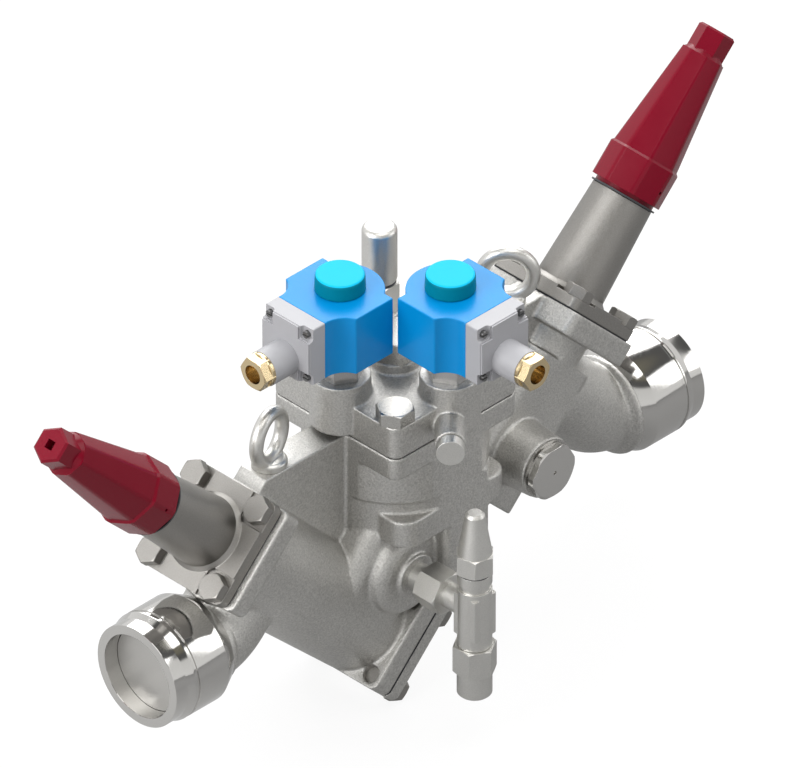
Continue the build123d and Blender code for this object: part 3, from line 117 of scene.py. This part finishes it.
class Paint:  # one material or world, built node by node
    def __init__(self, owner):
        owner.use_nodes = True
        self.owner = owner
        self.tree = owner.node_tree
        self.tree.nodes.clear()

    def node(self, kind, settings=None, values=None):
        made = self.tree.nodes.new(kind)
        for key, setting in (settings or {}).items():
            if key == "stops":
                ramp = made.color_ramp
                while len(ramp.elements) < len(setting):
                    ramp.elements.new(0.5)
                for element, (place, colour) in zip(ramp.elements, setting):
                    element.position = place
                    element.color = (*colour, 1.0)
            else:
                setattr(made, key, setting)
        for key, value in (values or {}).items():
            if isinstance(value, Value):
                self.tree.links.new(value.socket, made.inputs[key])
            else:
                made.inputs[key].default_value = value
        return {out.name: Value(self, out) for out in made.outputs if out.enabled}

    def mix(self, share, low, high):  # of two colours, each linked or given as three numbers
        low, high = [end if isinstance(end, Value) else (*end, 1.0) for end in (low, high)]
        return self.node("ShaderNodeMix", {"data_type": "RGBA"}, {0: share, 6: low, 7: high})["Result"]

    def noise(self, place, scale, detail, roughness=0.5):
        return self.node("ShaderNodeTexNoise", None, {
            "Vector": place, "Scale": scale, "Detail": detail, "Roughness": roughness})["Fac"]

    def along(self, place, way):
        return self.node("ShaderNodeVectorMath", {"operation": "DOT_PRODUCT"}, {0: place, 1: way})["Value"]

    def bump(self, height):
        return self.node("ShaderNodeBump", None, {
            "Strength": 1.0, "Distance": 0.001, "Height": height})["Normal"]

    def surface(self, values):
        shader = self.node("ShaderNodeBsdfPrincipled", None, values)["BSDF"]
        self.node("ShaderNodeOutputMaterial", None, {"Surface": shader})
        return self.owner


# studio: white floor, pale walls under a dark ceiling, four soft boxes
white = (1.0, 1.0, 1.0, 1.0)
studio = {
    "sky": [  # height from 0, straight down, to 1, straight up, and colour
        (0.0, (1.0, 1.0, 1.0)), (0.56, (1.0, 1.0, 1.0)), (0.86, (0.86, 0.86, 0.85)),
        (0.89, (0.12, 0.12, 0.12)), (0.93, (0.12, 0.12, 0.12)), (0.96, (0.22, 0.205, 0.16)),
    ],
    "skyTilt": 0.3, "ambient": 0.5,
    "floorSize": 14.0, "floorX": 0.25, "floorDrop": 0.0005, "floorGrain": 3.0,
    "paper": ((0.94, 0.94, 0.94), (0.96, 0.96, 0.96)),
    "floorTone": (0.28, 0.28, 0.28), "shadowShare": 0.12,
    # the pool is painted light: a patch of floor that glows brighter in metal's reflections
    "floorGloss": 0.05, "paintedPoolGloss": 0.55, "poolStart": -0.45, "poolSpan": 0.7,
    "boxes": [  # name, place, width, depth, power
        ("overheadBox", (0.3, -0.7, 3.0), 2.6, 2.2, 44.0),
        ("farBox", (2.3, 2.1, 2.2), 3.4, 3.0, 105.0),
        ("sideBox", (2.2, -2.0, 1.3), 0.8, 1.6, 9.0),
        ("leftBox", (-2.4, 0.4, 1.5), 2.2, 2.0, 66.0),
    ],
}


def setWorld():
    world = bpy.data.worlds.new("studioWorld")
    bpy.context.scene.world = world
    paint = Paint(world)
    way = paint.node("ShaderNodeTexCoord")["Generated"]
    height = paint.along(way, (0.0, -studio["skyTilt"], 1.0)) * 0.5 + 0.5  # from 0 to 1
    sky = paint.node("ShaderNodeValToRGB", {"stops": studio["sky"]}, {0: height})["Color"]
    path = paint.node("ShaderNodeLightPath")
    seen = path["Is Camera Ray"] + path["Is Glossy Ray"] + path["Is Transmission Ray"]
    shown = paint.node("ShaderNodeBackground", None, {"Color": sky, "Strength": 1.0})["Background"]
    ambient = paint.node("ShaderNodeBackground", None,
                         {"Color": white, "Strength": studio["ambient"]})["Background"]
    both = paint.node("ShaderNodeMixShader", None, {0: seen, 1: ambient, 2: shown})["Shader"]
    paint.node("ShaderNodeOutputWorld", None, {"Surface": both})


def setFloor():
    bpy.ops.mesh.primitive_plane_add(size=studio["floorSize"],
                                     location=(studio["floorX"], 0.0, cadBox[0][2] - studio["floorDrop"]))
    floor = bpy.context.object
    floor.name = "studioFloor"
    paint = Paint(bpy.data.materials.new("floorPaper"))
    grain = paint.node("ShaderNodeTexNoise", None, {"Scale": studio["floorGrain"], "Detail": 2.0})["Fac"]
    path = paint.node("ShaderNodeLightPath")
    paper = paint.mix(path["Is Camera Ray"], studio["floorTone"], paint.mix(grain, *studio["paper"]))
    matte = paint.node("ShaderNodeBsdfDiffuse", None, {"Color": paper})["BSDF"]
    glow = paint.node("ShaderNodeEmission", None, {"Color": white, "Strength": 1.0})["Emission"]
    spot = paint.node("ShaderNodeSeparateXYZ", None, {0: paint.node("ShaderNodeNewGeometry")["Position"]})
    paintedPool = paint.node("ShaderNodeMath", {"operation": "MULTIPLY", "use_clamp": True},
                      {0: spot["Y"] - spot["X"] - studio["poolStart"], 1: 1 / studio["poolSpan"]})["Value"]
    gloss = paintedPool * studio["paintedPoolGloss"] + studio["floorGloss"]  # painted pool of light: the floor glows brighter for metal behind on the left
    seen = (path["Is Camera Ray"] * (1 - studio["shadowShare"])
            + (path["Is Glossy Ray"] + path["Is Transmission Ray"]) * gloss)
    both = paint.node("ShaderNodeMixShader", None, {0: seen, 1: matte, 2: glow})["Shader"]
    paint.node("ShaderNodeOutputMaterial", None, {"Surface": both})
    floor.data.materials.append(paint.owner)


def setLamps():
    for name, place, width, depth, power in studio["boxes"]:
        lamp = bpy.data.lights.new(name, "AREA")
        lamp.shape = "RECTANGLE"
        lamp.size = width
        lamp.size_y = depth
        lamp.energy = power
        holder = bpy.data.objects.new(name, lamp)
        holder.location = place
        holder.rotation_euler = (Vector(view["target"]) - Vector(place)).to_track_quat("-Z", "Y").to_euler()
        bpy.context.scene.collection.objects.link(holder)


setCamera()
setWorld()
setFloor()
setLamps()
bpy.context.scene.view_settings.view_transform = "Standard"
print("studio ready")


# finishes: cloud and grain are noise scales, their depths are in millimetres
metalLook = {"cloudDetail": 4.0, "grainDetail": 3.0, "grainRoughness": 0.65, "speckleGain": 4.0,
             "speckleShift": 1.5, "rings": 1400.0, "ringDetail": 3.0}


def metal(name, look):
    look = {**metalLook, "speckle": 0.3, **look}
    paint = Paint(bpy.data.materials.new(name))
    place = paint.node("ShaderNodeTexCoord")["Object"]
    cloud = paint.noise(place, look["cloud"], look["cloudDetail"])
    grain = paint.noise(place, look["grain"], look["grainDetail"], look["grainRoughness"])
    speckle = grain * look["speckleGain"] - look["speckleShift"]  # the same grain with more contrast
    share = cloud * (1 - look["speckle"]) + speckle * look["speckle"]
    shade = paint.mix(share, [v * look["dark"] for v in look["colour"]], look["colour"])
    height = grain * look["grainDepth"] + cloud * look["cloudDepth"]
    if "turning" in look:  # fine rings left by the lathe, across the given direction
        reach = paint.along(place, look["turning"])
        rings = paint.node("ShaderNodeTexNoise", {"noise_dimensions": "1D"}, {
            "W": reach, "Scale": look["rings"], "Detail": look["ringDetail"]})["Fac"]
        height = height + rings * look["ringDepth"]
    rough = grain * look["roughSpan"] + (look["rough"] - look["roughSpan"] / 2)
    return paint.surface({"Base Color": shade, "Metallic": 1.0, "Roughness": rough,
                          "Normal": paint.bump(height)})


mouldedLook = {"cloud": 55.0, "cloudDetail": 3.0, "grainDetail": 2.0, "dark": 0.92, "roughSpan": 0.08}


def moulded(name, look):
    look = {**mouldedLook, **look}
    paint = Paint(bpy.data.materials.new(name))
    place = paint.node("ShaderNodeTexCoord")["Object"]
    cloud = paint.noise(place, look["cloud"], look["cloudDetail"])
    grain = paint.noise(place, look["grain"], look["grainDetail"])
    shade = paint.mix(cloud, [v * look["dark"] for v in look["colour"]], look["colour"])
    if "paintedShadeColour" in look:  # painted shade: a darker colour below the top edge, for the shade on the sides
        height = paint.node("ShaderNodeSeparateXYZ", None, {0: place})["Z"]
        shade = paint.mix(height.over(look["sideTop"]), look["paintedShadeColour"], shade)
    rough = cloud * look["roughSpan"] + (look["rough"] - look["roughSpan"] / 2)
    return paint.surface({"Base Color": shade, "Roughness": rough, "Specular IOR Level": look["gloss"],
                          "Normal": paint.bump(grain * look["grainDepth"])})


finishes = {
    "cast_steel": metal("castSteel", {
        "colour": (0.66, 0.65, 0.625), "dark": 0.62, "speckle": 0.6, "rough": 0.42, "roughSpan": 0.2,
        "cloud": 26.0, "cloudDepth": 0.2, "grain": 750.0, "grainDepth": 0.45}),
    "forged_steel": metal("forgedSteel", {
        "colour": (0.34, 0.328, 0.31), "dark": 0.8, "speckle": 0.5, "rough": 0.42, "roughSpan": 0.14,
        "cloud": 34.0, "cloudDepth": 0.1, "grain": 1200.0, "grainDepth": 0.14}),
    "turned_steel": metal("turnedSteel", {
        "colour": (0.6, 0.59, 0.57), "dark": 0.94, "rough": 0.1, "roughSpan": 0.04,
        "cloud": 12.0, "cloudDepth": 0.01, "grain": 1500.0, "grainDepth": 0.006,
        "turning": (1.0, 0.0, 0.0), "ringDepth": 0.012}),
    "bolt_steel": metal("boltSteel", {
        "colour": (0.5, 0.49, 0.47), "dark": 0.8, "rough": 0.28, "roughSpan": 0.12,
        "cloud": 70.0, "cloudDepth": 0.05, "grain": 1600.0, "grainDepth": 0.08}),
    "screw_steel": metal("screwSteel", {
        "colour": (0.2, 0.2, 0.2), "dark": 0.8, "rough": 0.35, "roughSpan": 0.1,
        "cloud": 70.0, "cloudDepth": 0.03, "grain": 1600.0, "grainDepth": 0.05}),
    "plated_steel": metal("platedSteel", {
        "colour": (0.74, 0.73, 0.7), "dark": 0.8, "speckle": 0.4, "rough": 0.36, "roughSpan": 0.14,
        "cloud": 60.0, "cloudDepth": 0.06, "grain": 1300.0, "grainDepth": 0.12}),
    "stainless_steel": metal("stainlessSteel", {
        "colour": (0.5, 0.49, 0.48), "dark": 0.85, "rough": 0.2, "roughSpan": 0.1,
        "cloud": 60.0, "cloudDepth": 0.03, "grain": 1500.0, "grainDepth": 0.03}),
    "spring_steel": metal("springSteel", {
        "colour": (0.35, 0.35, 0.35), "dark": 0.8, "rough": 0.32, "roughSpan": 0.1,
        "cloud": 80.0, "cloudDepth": 0.02, "grain": 1500.0, "grainDepth": 0.03}),
    "blanking_plate": metal("blankingPlate", {
        "colour": (0.55, 0.54, 0.52), "dark": 0.92, "rough": 0.5, "roughSpan": 0.1,
        "cloud": 20.0, "cloudDepth": 0.1, "grain": 1200.0, "grainDepth": 0.08}),
    "gland_brass": metal("glandBrass", {
        "colour": (0.7, 0.56, 0.34), "dark": 0.86, "rough": 0.2, "roughSpan": 0.08,
        "cloud": 60.0, "cloudDepth": 0.03, "grain": 1500.0, "grainDepth": 0.03}),
    "gasket": moulded("fibreGasket", {
        "colour": (0.045, 0.045, 0.05), "rough": 0.7, "gloss": 0.4, "grain": 1500.0, "grainDepth": 0.1}),
    "sealing_rubber": moulded("sealingRubber", {
        "colour": (0.05, 0.05, 0.055), "rough": 0.5, "gloss": 0.4, "grain": 1500.0, "grainDepth": 0.05}),
    "cap_plastic": moulded("crimsonCap", {
        "colour": (0.2, 0.001, 0.014), "rough": 0.22, "gloss": 0.22, "grain": 700.0, "grainDepth": 0.02}),
    "coil_plastic": moulded("coilBlue", {
        "colour": (0.0, 0.26, 0.64), "rough": 0.25, "gloss": 0.25, "grain": 1400.0, "grainDepth": 0.03}),
    "knob_plastic": moulded("knobCyan", {
        # painted shade: the knob's sides are darker than its top
        "colour": (0.004, 0.5, 0.8), "paintedShadeColour": (0.0, 0.2, 0.28), "sideTop": 0.2352,
        "rough": 0.4, "gloss": 0.08, "grain": 1400.0, "grainDepth": 0.04}),
    "box_plastic": moulded("boxGrey", {
        "colour": (0.43, 0.43, 0.45), "rough": 0.4, "gloss": 0.4, "grain": 1400.0, "grainDepth": 0.06}),
}
for name, node in nodes.items():
    node.data.materials.clear()
    node.data.materials.append(finishes[slotOf[name]])
nodes["side_plug_washer"].data.materials[0] = finishes["bolt_steel"]  # seen as bright as the plug
print("finishes ready")


# modelling helpers
merge = {"copy": 0.00002, "seam": 0.000005}  # how near two corners are to be one, in metres


def pick(piece):
    bpy.ops.object.select_all(action="DESELECT")
    piece.select_set(True)
    bpy.context.view_layer.objects.active = piece


def apply(piece, kind, **settings):
    pick(piece)
    modifier = piece.modifiers.new(kind.lower(), kind)
    for key, value in settings.items():
        setattr(modifier, key, value)
    bpy.ops.object.modifier_apply(modifier=modifier.name)


def roundEdges(piece, width, segments, degrees):
    apply(piece, "BEVEL", width=width, segments=segments, limit_method="ANGLE",
          angle_limit=math.radians(degrees))


def shadeByAngle(piece, degrees):
    pick(piece)
    bpy.ops.object.shade_smooth_by_angle(angle=math.radians(degrees))


def blendSkin(piece, look):  # one closed skin over all the lumps, with its corners melted
    apply(piece, "REMESH", mode="VOXEL", voxel_size=look["voxel"], adaptivity=0.0, use_smooth_shade=True)
    apply(piece, "SMOOTH", factor=0.5, iterations=look["rounds"])


def stand(piece, axis):
    piece.matrix_world = axis @ piece.matrix_world
    pick(piece)
    bpy.ops.object.transform_apply(location=True, rotation=True, scale=True)
    return piece


def join(piece, *others):
    pick(piece)
    for other in others:
        other.select_set(True)
    bpy.ops.object.join()
    return piece


def combine(piece, tool, operation):
    apply(piece, "BOOLEAN", operation=operation, object=tool, solver="EXACT")
    bpy.data.objects.remove(tool)


def camelCase(node):
    first, *rest = node.split("_")
    return first + "".join(word.capitalize() for word in rest) + "Piece"


def copyOf(node):  # a merged copy of a CAD node's mesh, free to be worked on
    piece = bpy.data.objects.new(camelCase(node), nodes[node].data.copy())
    bpy.context.scene.collection.objects.link(piece)
    pick(piece)
    bpy.ops.object.mode_set(mode="EDIT")
    bpy.ops.mesh.select_all(action="SELECT")
    bpy.ops.mesh.remove_doubles(threshold=merge["copy"])
    bpy.ops.object.mode_set(mode="OBJECT")
    return piece


def settle(piece, node):  # one finish all over, on the body of the node that it stands for
    finish = slotOf[node]
    piece.data.materials.clear()
    piece.data.materials.append(finishes[finish])
    piece.data.polygons.foreach_set("material_index", [0] * len(piece.data.polygons))
    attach(piece, bodyOf[node])
    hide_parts(node)


# turned shapes, drawn in millimetres up their own axis and then stood in place
mm = 0.001
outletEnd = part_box("outlet_weld_nipple")[1][0]


def middle(node):
    low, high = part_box(node)
    return [(a + b) / 2 for a, b in zip(low, high)]


def axisAt(place, way, across):  # the way is the axis, across is the shape's own X
    zWay, xWay = Vector(way), Vector(across)
    turned = Matrix((xWay, zWay.cross(xWay), zWay)).transposed().to_4x4()
    return Matrix.Translation(Vector(place)) @ turned


serviceX, serviceY, _ = middle("service_cap")
openerX, openerY, _ = middle("opener_cap")
inletRun = axisAt((0, 0, 0), (1, 0, 0), (0, 1, 0))
outletRun = axisAt((outletEnd, 0, 0), (-1, 0, 0), (0, 1, 0))
serviceRun = axisAt((serviceX, 0, 0), (0, -1, 0), (1, 0, 0))
serviceAxis = axisAt((serviceX, serviceY, 0), (0, 0, 1), (1, 0, 0))
openerAxis = axisAt((openerX, openerY, 0), (0, 0, 1), (1, 0, 0))


def lathe(name, rings, sides=96, closed=False):  # rings are radius and height; closed joins last to first
    bpy.ops.object.select_all(action="DESELECT")
    (radius, height), *rest = rings
    bpy.ops.mesh.primitive_circle_add(vertices=sides, radius=radius * mm, location=(0, 0, 0))
    piece = bpy.context.object
    piece.name = name
    bpy.ops.object.mode_set(mode="EDIT")
    bpy.ops.transform.translate(value=(0, 0, height * mm))
    for nextRadius, nextHeight in rest + rings[:1] * closed:
        growth = nextRadius / radius
        bpy.ops.mesh.extrude_region_move(TRANSFORM_OT_translate={"value": (0, 0, (nextHeight - height) * mm)})
        bpy.ops.transform.resize(value=(growth, growth, 1), center_override=(0, 0, 0))
        radius, height = nextRadius, nextHeight
    bpy.ops.mesh.select_all(action="SELECT")
    if closed:
        bpy.ops.mesh.remove_doubles(threshold=merge["seam"])
    else:
        bpy.ops.mesh.fill_holes(sides=0)
    bpy.ops.mesh.normals_make_consistent(inside=False)
    bpy.ops.object.mode_set(mode="OBJECT")
    return piece


# cast pieces: one skin with blended corners; the boss is the round shoulder behind the service valve
castings = {
    "valve_body": {"voxel": 0.0011, "rounds": 4, "faces": 190000,
                   "boss": [(33, 24), (33, 40), (31.5, 44), (28.5, 47), (24, 48.6)]},
    "top_cover": {"voxel": 0.0008, "rounds": 4, "faces": 120000},
}


def castSkin(node, look):
    piece = copyOf(node)
    if "boss" in look:
        join(piece, stand(lathe("frontBoss", look["boss"]), serviceRun))
    blendSkin(piece, look)
    share = look["faces"] / (2 * len(piece.data.polygons))
    if share < 1:
        apply(piece, "DECIMATE", ratio=share)
    pick(piece)
    bpy.ops.object.shade_smooth()
    settle(piece, node)


for node, look in castings.items():
    castSkin(node, look)
print("castings ready")


# terminal boxes and their brass glands, in millimetres on each pilot's axis
mainX = middle("centre_plug")[0]
pilotStep = 0.0525
pilots = {"left": axisAt((mainX - pilotStep, 0, 0), (0, 0, 1), (0, -1, 0)),
          "right": axisAt((mainX, -pilotStep, 0), (0, 0, 1), (1, 0, 0))}
pocket = {"side": 22.5, "low": 178.4, "high": 223.8, "front": -52.0, "width": 9.6, "depth": 4.2,
          "past": 2, "pastFront": 1, "round": 2.2, "segments": 5, "crease": 30}
gland = {"height": 193.5, "sides": 64, "rings": [(7.4, 73), (12.4, 73), (12.4, 75.4), (11.7, 76), (7.4, 76)]}


def block(name, low, high):
    bpy.ops.object.select_all(action="DESELECT")
    bpy.ops.mesh.primitive_cube_add(size=1, location=[(a + b) / 2 for a, b in zip(low, high)],
                                    scale=[b - a for a, b in zip(low, high)])
    piece = bpy.context.object
    piece.name = name
    bpy.ops.object.transform_apply(location=True, rotation=True, scale=True)
    return piece


def cutPockets(piece, pilot):  # the four open corners round the cover screws
    inner, reach = pocket["side"] - pocket["width"], pocket["side"] + pocket["past"]
    for lowX, highX in ((-reach, -inner), (inner, reach)):
        for lowZ, highZ in ((pocket["low"] - pocket["past"], pocket["low"] + pocket["width"]),
                            (pocket["high"] - pocket["width"], pocket["high"] + pocket["past"])):
            tool = block("pocketTool", [v * mm for v in (lowX, pocket["front"] - pocket["pastFront"], lowZ)],
                         [v * mm for v in (highX, pocket["front"] + pocket["depth"], highZ)])
            roundEdges(tool, pocket["round"] * mm, pocket["segments"], pocket["crease"])
            combine(piece, stand(tool, pilot), "DIFFERENCE")


def glandRing(piece, pilot):
    ring = lathe("glandRing", gland["rings"], gland["sides"], True)
    along = Matrix.Translation((0, 0, gland["height"] * mm)) @ Matrix.Rotation(math.pi / 2, 4, "X")
    join(piece, stand(ring, pilot @ along))


# nuts: a cone takes their corners off
hexagons = {  # axis, foot, top, width across the flats, and whether the foot is turned too
    "service_fitting": (serviceRun, 62.0, 82.0, 28.0, True),
    "service_cap": (serviceAxis, 33.2, 48.1, 24.4, True),
    "service_outlet_nut": (serviceAxis, -49.4, -27.8, 27.0, True),
    "opener_gland": (openerAxis, 155.7, 177.3, 24.6, False),
}
nutCone = {"clear": 0.2, "face": 1.02, "slope": 0.55, "step": 0.01, "wide": 90.0, "far": 300.0}


def nutCorners(piece, axis, low, high, flats, foot):
    corner, edge = flats / math.sqrt(3) + nutCone["clear"], flats / 2 * nutCone["face"]
    wide, far, step = nutCone["wide"], nutCone["far"], nutCone["step"]
    drop = (corner - edge) * nutCone["slope"]
    rings = [(wide, low - far), (wide, low - 2 * step)]
    rings += [(edge, low - step), (corner, low + drop)] if foot else [(corner, low)]
    rings += [(corner, high - drop), (edge, high + step), (wide, high + 2 * step), (wide, high + far)]
    combine(piece, stand(lathe("nutCone", rings), axis), "INTERSECT")


# machined and moulded pieces: every sharp edge rounded by this much, in metres
edgeWidths = {
    "inlet_bonnet": 0.0006, "outlet_bonnet": 0.0006, "flange_bolts": 0.0004, "top_bolts": 0.0005,
    "strainer_cover": 0.0006, "centre_plug": 0.0005, "pilot_plug": 0.0004, "side_plug": 0.0006,
    "inlet_cap": 0.001, "outlet_cap": 0.001, "left_coil": 0.0009, "right_coil": 0.0009,
    "left_terminal_box": 0.0007, "right_terminal_box": 0.0007, "left_cable_gland": 0.0003,
    "right_cable_gland": 0.0003, "left_coil_knob": 0.0008, "right_coil_knob": 0.0008,
    "left_armature_tube": 0.0005, "right_armature_tube": 0.0005, "opener_gland": 0.0004,
    "opener_cap": 0.0004, "service_fitting": 0.0004, "service_valve_body": 0.0005, "service_cap": 0.0004,
    "service_outlet_nut": 0.0005,
}
edges = {"segments": 2, "flat": 0.1, "crease": 28, "smooth": 34, "weight": 90}  # angles in degrees


def softEdges(node, width):
    piece = copyOf(node)
    apply(piece, "DECIMATE", decimate_type="DISSOLVE", angle_limit=math.radians(edges["flat"]))
    if node in hexagons:
        nutCorners(piece, *hexagons[node])
    if node.endswith("terminal_box"):
        cutPockets(piece, pilots[node.split("_")[0]])
    if node.endswith("cable_gland"):
        glandRing(piece, pilots[node.split("_")[0]])
    roundEdges(piece, width, edges["segments"], edges["crease"])
    shadeByAngle(piece, edges["smooth"])
    apply(piece, "WEIGHTED_NORMAL", weight=edges["weight"], keep_sharp=True)
    settle(piece, node)


for node, width in edgeWidths.items():
    softEdges(node, width)
print("machined pieces ready")


# weld nipples
nipple = {"sides": 160, "edge": 0.0003, "segments": 2, "crease": 20, "smooth": 18, "rings": [
    (31.2, 0), (38.05, 0), (38.05, 10.8), (40.3, 16.2), (40.3, 17.6), (39.5, 17.6), (39.5, 20.3),
    (40.3, 20.3), (40.3, 47.4), (34.5, 58), (22, 58), (31.2, 47.4)]}
for side, run in (("inlet", inletRun), ("outlet", outletRun)):
    piece = stand(lathe(side + "WeldNipplePiece", nipple["rings"], nipple["sides"], True), run)
    roundEdges(piece, nipple["edge"], nipple["segments"], nipple["crease"])
    shadeByAngle(piece, nipple["smooth"])
    settle(piece, side + "_weld_nipple")
print("nipples ready")


# lifting eyebolts, forged in one with their collars
eyebolt = {"ring": 17.5, "wire": 5.0, "top": 45.0, "segments": (96, 32), "voxel": 0.00055, "rounds": 5,
           "collar": [(5, -17), (5, 0), (12.5, 0), (12.5, 4.5), (10.5, 6)],
           "places": [(0.1259, 0.1124, 15.8), (0.3539, 0.1334, -45.0)]}  # X, foot and turn
eyes = []
for number, (x, z, turn) in enumerate(eyebolt["places"]):
    bpy.ops.object.select_all(action="DESELECT")
    bpy.ops.mesh.primitive_torus_add(
        location=(0, 0, (eyebolt["top"] - eyebolt["ring"] - eyebolt["wire"]) * mm),
        rotation=(math.pi / 2, 0, 0), major_radius=eyebolt["ring"] * mm, minor_radius=eyebolt["wire"] * mm,
        major_segments=eyebolt["segments"][0], minor_segments=eyebolt["segments"][1])
    eye = bpy.context.object
    eye.name = "liftingEyeboltsPiece" if number == 0 else "liftingEye"
    bpy.ops.object.transform_apply(location=True, rotation=True, scale=True)
    join(eye, lathe("eyeCollar", eyebolt["collar"]))
    blendSkin(eye, eyebolt)
    eyes.append(stand(eye, Matrix.Translation((x, 0, z)) @ Matrix.Rotation(math.radians(turn), 4, "Z")))
settle(join(*eyes), "lifting_eyebolts")
print("eyebolts ready")
